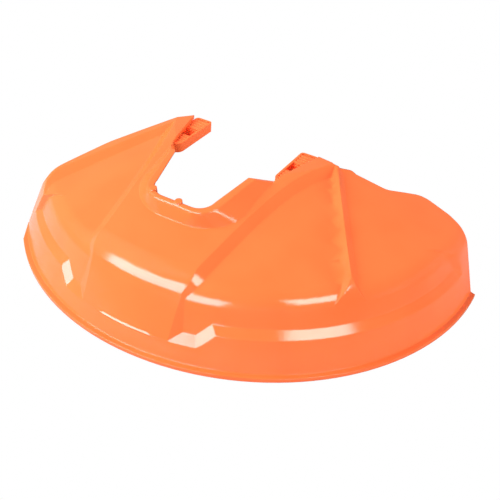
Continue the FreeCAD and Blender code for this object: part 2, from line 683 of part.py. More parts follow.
def pad_sketch(name, height, x_low, x_high, y_low, y_high, rounds=None):
    """Rectangle in the pad body at a height, with its corners rounded as named."""
    corners = [(x_low, y_low), (x_high, y_low), (x_high, y_high), (x_low, y_high)]
    sketch = closed_sketch(name, corners, rounds=rounds, body=pad_body)
    sketch.AttachmentSupport = [(plan_plane, "")]
    sketch.MapMode = "FlatFace"
    sketch.setExpression("AttachmentOffset.Base.z", cell(height))
    return sketch


block_sketch = pad_sketch("block_sketch", "pad_top", "pad_inner_x", "pad_outer_x",
                          "-pad_front_ahead", "-pad_rear_ahead",
                          {0: "pad_front_round", 1: "pad_front_round", 2: "pad_round", 3: "pad_round"})
block = pad_body.newObject("PartDesign::Pad", "block")
block.Profile = block_sketch
block.Reversed = True
block.setExpression("Length", "sizes.pad_thickness")
tray_sketch = pad_sketch("tray_sketch", "pad_top", "tray_inner_x", "tray_outer_x",
                         "-tray_front_ahead", "-tray_rear_ahead",
                         {0: "tray_front_round", 1: "tray_front_round"})
tray = pad_body.newObject("PartDesign::Pocket", "tray")
tray.Profile = tray_sketch
tray.setExpression("Length", "sizes.tray_depth")
recess_sketch = pad_sketch("recess_sketch", "pad_top", "recess_inner_x", "recess_outer_x",
                           "-recess_front_ahead", "-recess_rear_ahead")
recess = pad_body.newObject("PartDesign::Pocket", "recess")
recess.Profile = recess_sketch
recess.setExpression("Length", "sizes.recess_depth")
bore_sketch = pad_body.newObject("Sketcher::SketchObject", "bore_sketch")
bore_sketch.AttachmentSupport = [(plan_plane, "")]
bore_sketch.MapMode = "FlatFace"
bore_sketch.setExpression("AttachmentOffset.Base.z", "sizes.pad_top")
centre = Vector(size("hole_half_spacing"), size("-hole_ahead"), 0)
circle = bore_sketch.addGeometry(Part.Circle(centre, Vector(0, 0, 1), size("hole_radius")), False)
pin(bore_sketch, circle, 3, ("hole_half_spacing", "-hole_ahead"))
index = bore_sketch.addConstraint(Sketcher.Constraint("Radius", circle, size("hole_radius")))
bore_sketch.setExpression("Constraints[%d]" % index, "sizes.hole_radius")
bore = pad_body.newObject("PartDesign::Pocket", "bore")
bore.Profile = bore_sketch
bore.Type = "ThroughAll"
doc.recompute()

# Grip ribs across the pad, ahead of and behind the bolt hole.
for place, low, high, backward in (("rear", "-rear_grip_far", "-rear_grip_ahead", True),
                                   ("front", "-front_grip_far", "-front_grip_ahead", False)):
    rib_sketch = pad_sketch(place + "_grip_sketch", "tray_floor", "grip_inner_x", "grip_outer_x",
                            low, high)
    rib = pad_body.newObject("PartDesign::Pad", place + "_grip")
    rib.Profile = rib_sketch
    rib.setExpression("Length", "sizes.grip_height")
    doc.recompute()
    row = pad_body.newObject("PartDesign::LinearPattern", place + "_grip_row")
    row.Originals = [rib]
    row.Direction = (across_axis, [""])
    row.Reversed = backward
    row.setExpression("Length", "sizes.%s_grip_span" % place)
    row.setExpression("Occurrences", "sizes.%s_grip_count" % place)
    pad_body.Tip = row
    doc.recompute()

left_pad = doc.addObject("Part::Mirroring", "left_pad")
left_pad.Source = pad_body
left_pad.Base = Vector(0, 0, 0)
left_pad.Normal = Vector(1, 0, 0)

# Whole guard, moved so that the middle between the bolt holes on the pads' undersides is the origin.
joined = fused("joined", [cleared, pad_body, left_pad] + lugs)
guard = doc.addObject("Part::Refine", "guard")
guard.Source = joined
guard.Label = "blade_guard"
doc.recompute()
shift = Vector(0, size("hole_ahead"), size("pad_thickness") - size("pad_top"))
guard.Placement = FreeCAD.Placement(shift, FreeCAD.Rotation())
doc.recompute()

faulty = [o.Name for o in doc.Objects if "Invalid" in o.State or "Error" in o.State]
if faulty:
    raise RuntimeError("objects in error: " + ", ".join(faulty))
if guard.Shape.isNull() or not guard.Shape.isValid() or len(guard.Shape.Solids) != 1:
    raise RuntimeError("the guard is not one valid solid")
os.makedirs("parts", exist_ok=True)
guard.Shape.exportStep("parts/blade_guard.step")
box = guard.Shape.BoundBox
print("blade_guard: %.1f x %.1f x %.1f mm, %.0f mm3, %d faces"
      % (box.XLength, box.YLength, box.ZLength, guard.Shape.Volume, len(guard.Shape.Faces)))
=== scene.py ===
# %% [markdown]
# A trimmer's blade guard is one glossy orange moulding. Its shape is already solid in the frame, so
# this lesson dresses it: a smooth copy of the moulding, its plastics, the grips on its pads, a fine step
# at the saddle's foot, and a bright table with soft light. Everything is in metres, in the frame's own
# axes.

# %% Load the frame
import math

import bmesh
import bpy
from mathutils import Matrix, Vector


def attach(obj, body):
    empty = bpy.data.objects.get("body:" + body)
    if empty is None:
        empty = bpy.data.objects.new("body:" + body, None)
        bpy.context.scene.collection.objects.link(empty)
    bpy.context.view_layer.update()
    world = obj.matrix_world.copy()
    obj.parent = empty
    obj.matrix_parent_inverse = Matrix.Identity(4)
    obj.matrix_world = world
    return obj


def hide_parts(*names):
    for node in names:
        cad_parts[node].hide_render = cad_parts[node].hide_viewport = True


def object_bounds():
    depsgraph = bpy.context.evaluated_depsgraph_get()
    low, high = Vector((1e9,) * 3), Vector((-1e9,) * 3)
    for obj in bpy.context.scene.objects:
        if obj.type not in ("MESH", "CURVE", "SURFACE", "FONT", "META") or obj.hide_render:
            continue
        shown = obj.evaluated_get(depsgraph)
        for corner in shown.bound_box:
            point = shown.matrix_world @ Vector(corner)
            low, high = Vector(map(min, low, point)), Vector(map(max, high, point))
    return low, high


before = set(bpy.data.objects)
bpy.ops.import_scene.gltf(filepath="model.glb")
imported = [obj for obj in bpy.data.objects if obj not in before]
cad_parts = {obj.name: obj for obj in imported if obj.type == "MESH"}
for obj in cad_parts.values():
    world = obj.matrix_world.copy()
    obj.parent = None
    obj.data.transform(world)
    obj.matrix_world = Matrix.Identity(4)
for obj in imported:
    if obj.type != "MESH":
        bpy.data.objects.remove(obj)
cad_box = [list(corner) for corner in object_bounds()]
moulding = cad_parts["blade_guard"]
print("frame box", cad_box, "triangles", len(moulding.data.polygons))

# %% [markdown]
# The photograph was taken from the front right and a little above, with the camera leaning slightly.
# The rim is a true circle, so its ellipse gives the angle and the distance. The camera is set from
# those few numbers, because a camera that is aimed by hand drifts with every change.

# %% Find the camera's place
MM = 0.001
RIM_CENTRE = Vector((0.0, 29.5, -60.3)) * MM
VIEW_AZIMUTH = 27.234
VIEW_ELEVATION = 36.992
VIEW_ROLL = math.radians(4.774)
VIEW_DISTANCE = 503.11 * MM
VIEW_ASIDE = -2.077 * MM
VIEW_BELOW = -25.707 * MM


def direction(azimuth, elevation):
    """Unit vector towards a place seen at these angles, with azimuth 0 in front of the guard."""
    turn = math.radians(azimuth)
    lift = math.radians(elevation)
    return Vector((math.sin(turn) * math.cos(lift), -math.cos(turn) * math.cos(lift), math.sin(lift)))


back = direction(VIEW_AZIMUTH, VIEW_ELEVATION)
right = Vector((0, 0, 1)).cross(back).normalized()
up = back.cross(right)
leaned_right = right * math.cos(VIEW_ROLL) + up * math.sin(VIEW_ROLL)
leaned_up = up * math.cos(VIEW_ROLL) - right * math.sin(VIEW_ROLL)
place = RIM_CENTRE + back * VIEW_DISTANCE + right * VIEW_ASIDE + up * VIEW_BELOW
print("camera at", [round(v, 4) for v in place])

# %% Set the camera
SENSOR_WIDTH = 36
FOCAL_LENGTH = 50.4


def put_in_scene(name, data):
    """New object that holds this data, linked to the scene."""
    thing = bpy.data.objects.new(name, data)
    bpy.context.scene.collection.objects.link(thing)
    return thing


lens = bpy.data.cameras.new("photo_lens")
lens.sensor_width = SENSOR_WIDTH
lens.lens = FOCAL_LENGTH
camera = put_in_scene("photo_camera", lens)
camera.matrix_world = Matrix((
    (leaned_right.x, leaned_up.x, back.x, place.x),
    (leaned_right.y, leaned_up.y, back.y, place.y),
    (leaned_right.z, leaned_up.z, back.z, place.z),
    (0, 0, 0, 1),
))
bpy.context.scene.camera = camera
bpy.context.scene.view_settings.view_transform = "Standard"
print("camera", camera.name, "with a lens of", FOCAL_LENGTH, "mm")

# %% [markdown]
# The frame's mesh is loose triangles, which shade flat, while a moulding has smooth walls. The frame's
# own object is left alone, so its triangles are copied, and the copy is merged into one skin.

# %% Merge the triangles
WELD = 1e-6


def open_edges(shape):
    """Number of edges that don't join exactly two faces."""
    return sum(1 for edge in shape.edges if not edge.is_manifold)


corners = [point.co.copy() for point in moulding.data.vertices]
triangles = [tuple(face.vertices) for face in moulding.data.polygons]
skin = bpy.data.meshes.new("guard_moulding")
skin.from_pydata(corners, [], triangles)
mesh = bmesh.new()
mesh.from_mesh(skin)
bmesh.ops.remove_doubles(mesh, verts=mesh.verts, dist=WELD)
print("merged to", len(mesh.verts), "points,", open_edges(mesh), "open edges")

# %% [markdown]
# The sunken upper wall runs out at its right end in a soft hollow, as a moulded step does. The solid has
# a plain slanting face there. A bevel would be wider than that face, so the triangles round it are first
# divided finely.

# %% Divide the triangles at the wall's end
FINE = 1.5 * MM
DIVISIONS = 3
EDGE_TESTS = 8
WALL_END = Vector((143.5, 13.0, -28.0)) * MM
WALL_END_REACH = 14 * MM


def ease_weight(point):
    """One at the middle of the wall's end, falling to nothing at its reach."""
    return max(1 - ((point - WALL_END).length / WALL_END_REACH) ** 2, 0.0)


def near_wall_end(edge):
    """Whether some point along an edge lies within the reach of the wall's end."""
    first, last = (corner.co for corner in edge.verts)
    tests = (first.lerp(last, number / EDGE_TESTS) for number in range(EDGE_TESTS + 1))
    return any(ease_weight(point) > 0 for point in tests)


for _ in range(DIVISIONS):
    long_edges = [edge for edge in mesh.edges if edge.calc_length() > FINE and near_wall_end(edge)]
    bmesh.ops.subdivide_edges(mesh, edges=long_edges, cuts=1)
    bmesh.ops.triangulate(mesh, faces=[face for face in mesh.faces if len(face.verts) > 3])
mesh.normal_update()
print("divided to", len(mesh.verts), "points")

# %% [markdown]
# Each outer point is then eased towards the middle of its neighbours: fully near the step, and less
# further out, so that the change fades into the walls. The inner side of the wall stays as it is. A point
# is on the outer side when its normal leans away from the guard's middle and up.

# %% Ease the wall's end
EASE_STEPS = 30
EASE_SHARE = 0.5
OUTER_RISE = 67.13 * MM

eased = []
for corner in mesh.verts:
    weight = ease_weight(corner.co)
    outward = Vector((corner.co.x, corner.co.y - RIM_CENTRE.y, OUTER_RISE))
    if weight > 0 and corner.normal.dot(outward) > 0:
        others = [edge.other_vert(corner) for edge in corner.link_edges]
        eased.append((corner, weight * EASE_SHARE, others))
for _ in range(EASE_STEPS):
    moves = []
    for corner, share, others in eased:
        middle = sum((other.co for other in others), Vector()) / len(others)
        moves.append((middle - corner.co) * share)
    for (corner, _, _), move in zip(eased, moves):
        corner.co += move
print("eased", len(eased), "points of", len(mesh.verts))

# %% [markdown]
# Smooth walls meet at creases. One angle for all creases doesn't work here: the bands meet at shallow
# angles, and small rounds are made of steeper facets. So the triangles are first gathered into walls,
# across every edge that is nearly flat.

# %% Find the walls
FLAT = math.radians(9.5)

mesh.faces.index_update()
wall_of = {}
walls = []
for start in mesh.faces:
    if start.index in wall_of:
        continue
    wall_of[start.index] = len(walls)
    members = [start]
    for face in members:
        for edge in face.edges:
            for other in edge.link_faces:
                if other.index not in wall_of and edge.calc_face_angle(math.pi) < FLAT:
                    wall_of[other.index] = len(walls)
                    members.append(other)
    walls.append(members)
print("walls", len(walls), "of", len(mesh.faces), "triangles")

# %% [markdown]
# The facets of a small round are narrow strips, and a real wall is broad. The mean width tells the two
# apart without looking at each wall's shape.

# %% Find the broad walls
BROAD = 3.4 * MM


def wall_width(members):
    """Mean width of a wall: twice its area over the length of its outline."""
    own = {face.index for face in members}
    outline = sum(
        edge.calc_length()
        for face in members
        for edge in face.edges
        if any(other.index not in own for other in edge.link_faces)
    )
    return 2 * sum(face.calc_area() for face in members) / max(outline, WELD)


broad = [wall_width(members) > BROAD for members in walls]
print("broad walls", sum(broad))

# %% [markdown]
# An edge stays creased where two broad walls meet, or where the turn is steep. The right rib is an
# exception: its side runs softly into the fan panel, so only its crest stays creased. All other edges
# shade smooth.

# %% Crease the edges
STEEP = math.radians(40)
RIB_SIDE = Vector((-0.47, -0.51, 0.72))
RIB_SPREAD = math.radians(8)
RIB_CREST = math.radians(62)


def on_rib_side(face):
    """Whether a face is part of the right rib's side."""
    return face.normal.angle(RIB_SIDE, math.pi) < RIB_SPREAD and face.calc_center_median().x > 0


for face in mesh.faces:
    face.smooth = True
creases = 0
for edge in mesh.edges:
    turn = edge.calc_face_angle(math.pi)
    if any(on_rib_side(face) for face in edge.link_faces):
        edge.smooth = turn < RIB_CREST
    else:
        both_broad = all(broad[wall_of[face.index]] for face in edge.link_faces)
        edge.smooth = not (turn > STEEP or (turn > FLAT and both_broad))
    creases += not edge.smooth
print("creased edges", creases, "open edges", open_edges(mesh))
mesh.to_mesh(skin)
mesh.free()
guard = put_in_scene("guard_moulding", skin)
print("moulding", len(skin.polygons), "faces")

# %% [markdown]
# Where a broad wall runs into a small round, the shading should stay true on the wall and turn within
# the round. The Weighted Normal modifier does that: the larger face decides the direction of a shared
# corner. The result is kept as a plain mesh.

# %% Weigh the normals
def plain_mesh(holder, name):
    """The holder's evaluated mesh as a plain one; its modifiers are then removed."""
    graph = bpy.context.evaluated_depsgraph_get()
    result = bpy.data.meshes.new_from_object(holder.evaluated_get(graph), depsgraph=graph)
    result.name = name
    holder.modifiers.clear()
    holder.data = result
    return result


weigh = guard.modifiers.new("weighted_normals", "WEIGHTED_NORMAL")
weigh.mode = "FACE_AREA"
weigh.keep_sharp = True
skin = plain_mesh(guard, "guard_skin")
print("skin", len(skin.vertices), "points")

# %% [markdown]
# Moulded plastic has no knife edges: every crease is a small round, and it catches the light as a
# thin line. Rounding thousands of edges in the mesh is slow and breaks where walls are thin, so a
# Bevel node rounds the shading instead. The group also gives a mask of the creases. It is a group
# because all the plastics use it.

# %% Make the helpers for groups
def new_group(name, inputs, outputs):
    """Shader group with named number inputs and named outputs."""
    group = bpy.data.node_groups.new(name, "ShaderNodeTree")
    for label, value in inputs:
        socket = group.interface.new_socket(label, in_out="INPUT", socket_type="NodeSocketFloat")
        socket.default_value = value
    for label, kind in outputs:
        group.interface.new_socket(label, in_out="OUTPUT", socket_type=kind)
    return group, group.nodes.new("NodeGroupInput"), group.nodes.new("NodeGroupOutput")


def feed(tree, socket, value):
    """Link a socket to the value if that is a socket too, and otherwise set it."""
    if isinstance(value, bpy.types.NodeSocket):
        tree.links.new(value, socket)
    else:
        socket.default_value = value


def add_math(tree, operation, first, second):
    """Math node whose inputs are sockets or plain numbers."""
    node = tree.nodes.new("ShaderNodeMath")
    node.operation = operation
    feed(tree, node.inputs[0], first)
    feed(tree, node.inputs[1], second)
    return node.outputs[0]


print("helpers", new_group.__name__, feed.__name__, add_math.__name__)

# %% Make the soft crease group
BEVEL_SAMPLES = 6

crease_group, crease_in, crease_out = new_group(
    "soft_creases",
    [("Radius", 1.0 * MM), ("Sharpness", 6.0)],
    [("Normal", "NodeSocketVector"), ("Mask", "NodeSocketFloat")],
)
rounding = crease_group.nodes.new("ShaderNodeBevel")
rounding.samples = BEVEL_SAMPLES
surface = crease_group.nodes.new("ShaderNodeNewGeometry")
agree = crease_group.nodes.new("ShaderNodeVectorMath")
agree.operation = "DOT_PRODUCT"
crease_group.links.new(crease_in.outputs["Radius"], rounding.inputs["Radius"])
crease_group.links.new(rounding.outputs["Normal"], agree.inputs[0])
crease_group.links.new(surface.outputs["Normal"], agree.inputs[1])
apart = add_math(crease_group, "SUBTRACT", 1.0, agree.outputs["Value"])
mask = add_math(crease_group, "MULTIPLY", apart, crease_in.outputs["Sharpness"])
mask.node.use_clamp = True
crease_group.links.new(rounding.outputs["Normal"], crease_out.inputs["Normal"])
crease_group.links.new(mask, crease_out.inputs["Mask"])
print("group", crease_group.name, len(crease_group.nodes), "nodes")

# %% [markdown]
# The tool that moulds such a guard is polished, but not perfectly: the skin has a faint waviness where
# the plastic shrank, and a very fine grain. Noise textures on Object coordinates give both, at their
# real sizes. The group puts out a height for a Bump node and two masks for colour and gloss. Sizes here
# are numbers of features to the metre.

# %% Make the moulded skin group
SCUFF_SIZE = 320.0

skin_group, skin_in, skin_out = new_group(
    "moulded_skin",
    [("Wave Size", 40.0), ("Grain Size", 1500.0), ("Grain Share", 0.1)],
    [("Height", "NodeSocketFloat"), ("Flow", "NodeSocketFloat"), ("Scuff", "NodeSocketFloat")],
)
coords = skin_group.nodes.new("ShaderNodeTexCoord")


def add_noise(size, detail, roughness):
    """Noise on Object coordinates in the skin group; size is a socket or a number."""
    node = skin_group.nodes.new("ShaderNodeTexNoise")
    skin_group.links.new(coords.outputs["Object"], node.inputs["Vector"])
    feed(skin_group, node.inputs["Scale"], size)
    node.inputs["Detail"].default_value = detail
    node.inputs["Roughness"].default_value = roughness
    return node.outputs["Fac"]


waves = add_noise(skin_in.outputs["Wave Size"], detail=1.0, roughness=0.4)
grain = add_noise(skin_in.outputs["Grain Size"], detail=2.0, roughness=0.5)
scuffs = add_noise(SCUFF_SIZE, detail=5.0, roughness=0.62)
fine = add_math(skin_group, "MULTIPLY", grain, skin_in.outputs["Grain Share"])
skin_group.links.new(add_math(skin_group, "ADD", waves, fine), skin_out.inputs["Height"])
skin_group.links.new(waves, skin_out.inputs["Flow"])
skin_group.links.new(scuffs, skin_out.inputs["Scuff"])
print("group", skin_group.name, len(skin_group.nodes), "nodes")

# %% [markdown]
# The shell's plastic is coloured through and glossy. A real one isn't one flat orange: it is a little
# yellower where the plastic flowed thin, and its creases are painted lighter, partly as wear and partly
# as a painted glow of light through the thin edges. Its gloss is broken by faint scuffs. One helper
# builds the material from the two groups, so that every plastic on the guard has the same skin.

# %% Make the helper for plastics
FLOW_SPAN = (0.35, 0.65)
SCUFF_SPAN = (0.3, 0.75)
WEAR_AND_GLOW_SHARE = 0.35
BUMP_STRENGTH = 0.12
BUMP_DEPTH = 0.2 * MM
PLASTIC_IOR = 1.5


def add_mix(tree, factor, first, second):
    """Colour mix of two colours or sockets by a factor socket."""
    node = tree.nodes.new("ShaderNodeMix")
    node.data_type = "RGBA"
    tree.links.new(factor, node.inputs["Factor"])
    feed(tree, node.inputs[6], first)
    feed(tree, node.inputs[7], second)
    return node.outputs[2]


def add_range(tree, value, span, out_span):
    """Map Range node from one span of values to another."""
    node = tree.nodes.new("ShaderNodeMapRange")
    tree.links.new(value, node.inputs["Value"])
    for label, number in zip(("From Min", "From Max", "To Min", "To Max"), (*span, *out_span)):
        node.inputs[label].default_value = number
    return node.outputs["Result"]


def moulded_plastic(name, deep, light, worn_and_glowing, gloss, crease_radius, shine):
    """Plastic between a deep and a light shade, creases painted lighter as wear and glow, faint scuffs.
    """
    material = bpy.data.materials.new(name)
    material.use_nodes = True
    tree = material.node_tree
    shader = tree.nodes["Principled BSDF"]
    soft = tree.nodes.new("ShaderNodeGroup")
    soft.node_tree = crease_group
    soft.inputs["Radius"].default_value = crease_radius
    finish = tree.nodes.new("ShaderNodeGroup")
    finish.node_tree = skin_group
    body = add_mix(tree, add_range(tree, finish.outputs["Flow"], FLOW_SPAN, (0.0, 1.0)), deep, light)
    # Painted glow: creases are lightened, partly as wear and partly as light glowing through thin edges.
    wear_and_glow = add_range(tree, soft.outputs["Mask"], (0.0, 1.0), (0.0, WEAR_AND_GLOW_SHARE))
    tree.links.new(add_mix(tree, wear_and_glow, body, worn_and_glowing), shader.inputs["Base Color"])
    rough = add_range(tree, finish.outputs["Scuff"], SCUFF_SPAN, gloss)
    tree.links.new(rough, shader.inputs["Roughness"])
    bump = tree.nodes.new("ShaderNodeBump")
    bump.inputs["Strength"].default_value = BUMP_STRENGTH
    bump.inputs["Distance"].default_value = BUMP_DEPTH
    tree.links.new(finish.outputs["Height"], bump.inputs["Height"])
    tree.links.new(soft.outputs["Normal"], bump.inputs["Normal"])
    tree.links.new(bump.outputs["Normal"], shader.inputs["Normal"])
    shader.inputs["IOR"].default_value = PLASTIC_IOR
    shader.inputs["Specular IOR Level"].default_value = shine
    return material


print("helper", moulded_plastic.__name__)

# %% [markdown]
# Three plastics are needed. The shell and the fine step at the saddle's foot have the same polished
# orange, but the step is so small that its creases are nearly sharp. The pads come from an unpolished
# part of the tool, so they are matt, and they show no wear. Their orange is painted a little brighter
# than the shell's: painted light that lifts them out of the shade they sit in.

# %% Make the plastics
DEEP_ORANGE = (0.94, 0.156, 0.036, 1)
LIGHT_ORANGE = (0.96, 0.166, 0.04, 1)
# Creases take this lighter orange, partly wear and partly a painted glow of light through thin edges.
WORN_AND_GLOWING_ORANGE = (1.0, 0.24, 0.06, 1)
POLISHED = (0.12, 0.18)
POLISHED_SHINE = 0.5
# Painted light: the pads' orange is brighter than the shell's, to lift them out of the shade they sit in.
PAD_DEEP = (0.99, 0.165, 0.045, 1)
PAD_LIGHT = (0.99, 0.172, 0.047, 1)
MATT = (0.55, 0.65)
MATT_SHINE = 0.25
SHELL_ROUND = 1.2 * MM
PAD_ROUND = 0.3 * MM
STEP_ROUND = 0.1 * MM

polished_orange = (DEEP_ORANGE, LIGHT_ORANGE, WORN_AND_GLOWING_ORANGE, POLISHED)
shell_plastic = moulded_plastic("shell_plastic", *polished_orange, SHELL_ROUND, POLISHED_SHINE)
step_plastic = moulded_plastic("step_plastic", *polished_orange, STEP_ROUND, POLISHED_SHINE)
pad_plastic = moulded_plastic("pad_plastic", PAD_DEEP, PAD_LIGHT, PAD_LIGHT, MATT, PAD_ROUND, MATT_SHINE)
print("plastics", shell_plastic.name, step_plastic.name, pad_plastic.name)

# %% [markdown]
# The pads are part of the same moulding as the shell, so there is no seam to cut along. Their faces take
# the matt plastic by where they are: within the box that holds a pad, on either side.

# %% Give the moulding its plastics
PAD_INNER = 33.5 * MM
PAD_OUTER = 45.7 * MM
PAD_FRONT = -19.4 * MM
PAD_REAR = 20.3 * MM
PAD_TOP = 6.4 * MM

skin.materials.clear()
skin.materials.append(shell_plastic)
skin.materials.append(pad_plastic)
pad_faces = 0
for face in skin.polygons:
    centre = face.center
    across = PAD_INNER <= abs(centre.x) <= PAD_OUTER
    along = PAD_FRONT <= centre.y <= PAD_REAR
    face.material_index = 1 if across and along and centre.z <= PAD_TOP + WELD else 0
    pad_faces += face.material_index
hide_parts("blade_guard")
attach(guard, "root")
print("pad faces", pad_faces)

# %% [markdown]
# Each pad has two rows of grip ribs, ahead of its bolt hole and behind it. On the moulding they are low
# bars with rounded tops on a shallow floor. They repeat, so Geometry Nodes make them: one bar is a
# rounded section drawn along a short line, a line of points carries the bars of a row, and the points of
# a small guide mesh carry the rows. The sizes are the tree's inputs, so one tree makes all four rows.

# %% Start the grip tree
GRIP_INPUTS = [
    ("Count", "NodeSocketInt", 4),
    ("Pitch", "NodeSocketFloat", 3.0 * MM),
    ("Length", "NodeSocketFloat", 9.5 * MM),
    ("Width", "NodeSocketFloat", 2.0 * MM),
    ("Height", "NodeSocketFloat", 1.2 * MM),
    ("Rounding", "NodeSocketFloat", 0.45 * MM),
    ("Floor Height", "NodeSocketFloat", 0.85 * MM),
    ("Floor Length", "NodeSocketFloat", 12.8 * MM),
]


def add_node(kind, **settings):
    """Node of a kind in the grip tree, with its settings given by name."""
    node = grip_tree.nodes.new(kind)
    for label, value in settings.items():
        setattr(node, label, value)
    return node


grip_tree = bpy.data.node_groups.new("grip_rows", "GeometryNodeTree")
grip_tree.interface.new_socket("Geometry", in_out="INPUT", socket_type="NodeSocketGeometry")
grip_sockets = {}
for label, kind, _ in GRIP_INPUTS:
    grip_sockets[label] = grip_tree.interface.new_socket(label, in_out="INPUT", socket_type=kind)
grip_tree.interface.new_socket("Geometry", in_out="OUTPUT", socket_type="NodeSocketGeometry")
grip_in = add_node("NodeGroupInput").outputs
grip_out = add_node("NodeGroupOutput").inputs
link = grip_tree.links.new
print("grip tree inputs", list(grip_sockets))

# %% Draw the bars of a row
FILLET_POINTS = 3

section = add_node("GeometryNodeCurvePrimitiveQuadrilateral", mode="RECTANGLE")
link(grip_in["Width"], section.inputs["Width"])
link(grip_in["Height"], section.inputs["Height"])
soften = add_node("GeometryNodeFilletCurve", mode="POLY")
soften.inputs["Count"].default_value = FILLET_POINTS
link(section.outputs["Curve"], soften.inputs["Curve"])
link(grip_in["Rounding"], soften.inputs["Radius"])
bar_end = add_node("ShaderNodeCombineXYZ")
link(grip_in["Length"], bar_end.inputs["X"])
spine = add_node("GeometryNodeCurvePrimitiveLine")
link(bar_end.outputs["Vector"], spine.inputs["End"])
bar = add_node("GeometryNodeCurveToMesh")
bar.inputs["Fill Caps"].default_value = True
link(spine.outputs["Curve"], bar.inputs["Curve"])
link(soften.outputs["Curve"], bar.inputs["Profile Curve"])

bar_offset = add_node("ShaderNodeCombineXYZ")
link(grip_in["Pitch"], bar_offset.inputs["Y"])
stations = add_node("GeometryNodeMeshLine")
link(grip_in["Count"], stations.inputs["Count"])
link(bar_offset.outputs["Vector"], stations.inputs["Offset"])
row = add_node("GeometryNodeInstanceOnPoints")
link(stations.outputs["Mesh"], row.inputs["Points"])
link(bar.outputs["Mesh"], row.inputs["Instance"])
print("bars on a line:", len(grip_tree.nodes), "nodes")

# %% Lay the floor under a row
HALF = 0.5

floor_size = add_node("ShaderNodeCombineXYZ")
link(grip_in["Length"], floor_size.inputs["X"])
link(grip_in["Floor Length"], floor_size.inputs["Y"])
link(grip_in["Floor Height"], floor_size.inputs["Z"])
floor_slab = add_node("GeometryNodeMeshCube")
link(floor_size.outputs["Vector"], floor_slab.inputs["Size"])

gaps = add_math(grip_tree, "SUBTRACT", grip_in["Count"], 1.0)
row_span = add_math(grip_tree, "MULTIPLY", gaps, grip_in["Pitch"])
sunk = add_math(grip_tree, "SUBTRACT", grip_in["Floor Height"], grip_in["Height"])
floor_place = add_node("ShaderNodeCombineXYZ")
for axis, measure in (("X", grip_in["Length"]), ("Y", row_span), ("Z", sunk)):
    link(add_math(grip_tree, "MULTIPLY", measure, HALF), floor_place.inputs[axis])
floor_seat = add_node("GeometryNodeTransform")
link(floor_slab.outputs["Mesh"], floor_seat.inputs["Geometry"])
link(floor_place.outputs["Vector"], floor_seat.inputs["Translation"])
both = add_node("GeometryNodeJoinGeometry")
link(row.outputs["Instances"], both.inputs["Geometry"])
link(floor_seat.outputs["Geometry"], both.inputs["Geometry"])
print("with the floor:", len(grip_tree.nodes), "nodes")

# %% Repeat the rows
rows = add_node("GeometryNodeInstanceOnPoints")
link(grip_in["Geometry"], rows.inputs["Points"])
link(both.outputs["Geometry"], rows.inputs["Instance"])
solid = add_node("GeometryNodeRealizeInstances")
link(rows.outputs["Instances"], solid.inputs["Geometry"])
dress = add_node("GeometryNodeSetMaterial")
dress.inputs["Material"].default_value = pad_plastic
link(solid.outputs["Geometry"], dress.inputs["Geometry"])
link(dress.outputs["Geometry"], grip_out["Geometry"])
print("grip tree", len(grip_tree.nodes), "nodes")

# %% [markdown]
# The guide mesh has one point for each row: one end of its foremost bar, at half the bar's height above
# the pad's sunken floor. The result is kept as a plain mesh that rides with the moulding. The guide has
# no material of its own and leaves an empty slot, so the slots are cleared and the plastic is set again.

# %% Lay the grips on the pads
GRIP_INNER = 34.85 * MM
FRONT_ROW = -15.35 * MM
REAR_ROW = 7.25 * MM
TRAY_FLOOR = 5.1 * MM

sizes = {label: value for label, _, value in GRIP_INPUTS}
level = TRAY_FLOOR + sizes["Height"] / 2
starts = []
for row_start in (FRONT_ROW, REAR_ROW):
    starts.append((GRIP_INNER, row_start, level))
    starts.append((-GRIP_INNER - sizes["Length"], row_start, level))
guide = bpy.data.meshes.new("grip_guide")
guide.from_pydata(starts, [], [])
grips = put_in_scene("pad_grips", guide)
grower = grips.modifiers.new("grip_rows", "NODES")
grower.node_group = grip_tree
for label, value in sizes.items():
    grower[grip_sockets[label].identifier] = value
grip_mesh = plain_mesh(grips, "pad_grips")
grip_mesh.materials.clear()
grip_mesh.materials.append(pad_plastic)
for face in grip_mesh.polygons:
    face.material_index = 0
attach(grips, "root")
print("grips", len(grip_mesh.polygons), "faces")

# %% [markdown]
# Along the saddle's foot the moulding has a fine step that catches the light as a bright line. It is a
# narrow ledge on a circle round the guard's middle. Its section is a low wedge, seated in the wall. It
# shrinks and sinks into the wall at both ends, so it is built ring by ring.

# %% Make the rings of the saddle's step
FOOT_RADIUS = 152.9 * MM
FOOT_HEIGHT = -47.3 * MM
STEP_FROM = -8.0
STEP_TO = 9.5
STEP_RINGS = 48
STEP_TAPER = 6
STEP_SINK = 0.5
STEP_SECTION = [(-0.52, 1.0), (0.52, -0.23), (0.3, -0.95), (-0.9, -0.5)]

step_mesh = bmesh.new()
rings = []
for number in range(STEP_RINGS + 1):
    share = number / STEP_RINGS
    turn = math.radians(STEP_FROM + (STEP_TO - STEP_FROM) * share)
    fullness = min(1.0, STEP_TAPER * share, STEP_TAPER * (1 - share))
    ring = []
    for outward, upward in STEP_SECTION:
        radius = FOOT_RADIUS + (outward - STEP_SINK * (1 - fullness)) * MM
        ring.append(step_mesh.verts.new((
            math.sin(turn) * radius,
            RIM_CENTRE.y - math.cos(turn) * radius,
            FOOT_HEIGHT + upward * fullness * MM,
        )))
    rings.append(ring)
print("rings", len(rings))

# %% Close the saddle's step
count = len(STEP_SECTION)
for ring, after in zip(rings, rings[1:]):
    for k in range(count):
        step_mesh.faces.new((ring[k], ring[(k + 1) % count], after[(k + 1) % count], after[k]))
step_mesh.faces.new(rings[0])
step_mesh.faces.new(list(reversed(rings[-1])))
bmesh.ops.recalc_face_normals(step_mesh, faces=step_mesh.faces)
step_data = bpy.data.meshes.new("saddle_step")
step_mesh.to_mesh(step_data)
step_mesh.free()
step_data.materials.append(step_plastic)
saddle_step = put_in_scene("saddle_step", step_data)
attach(saddle_step, "root")
print("saddle step", len(step_data.polygons), "faces")

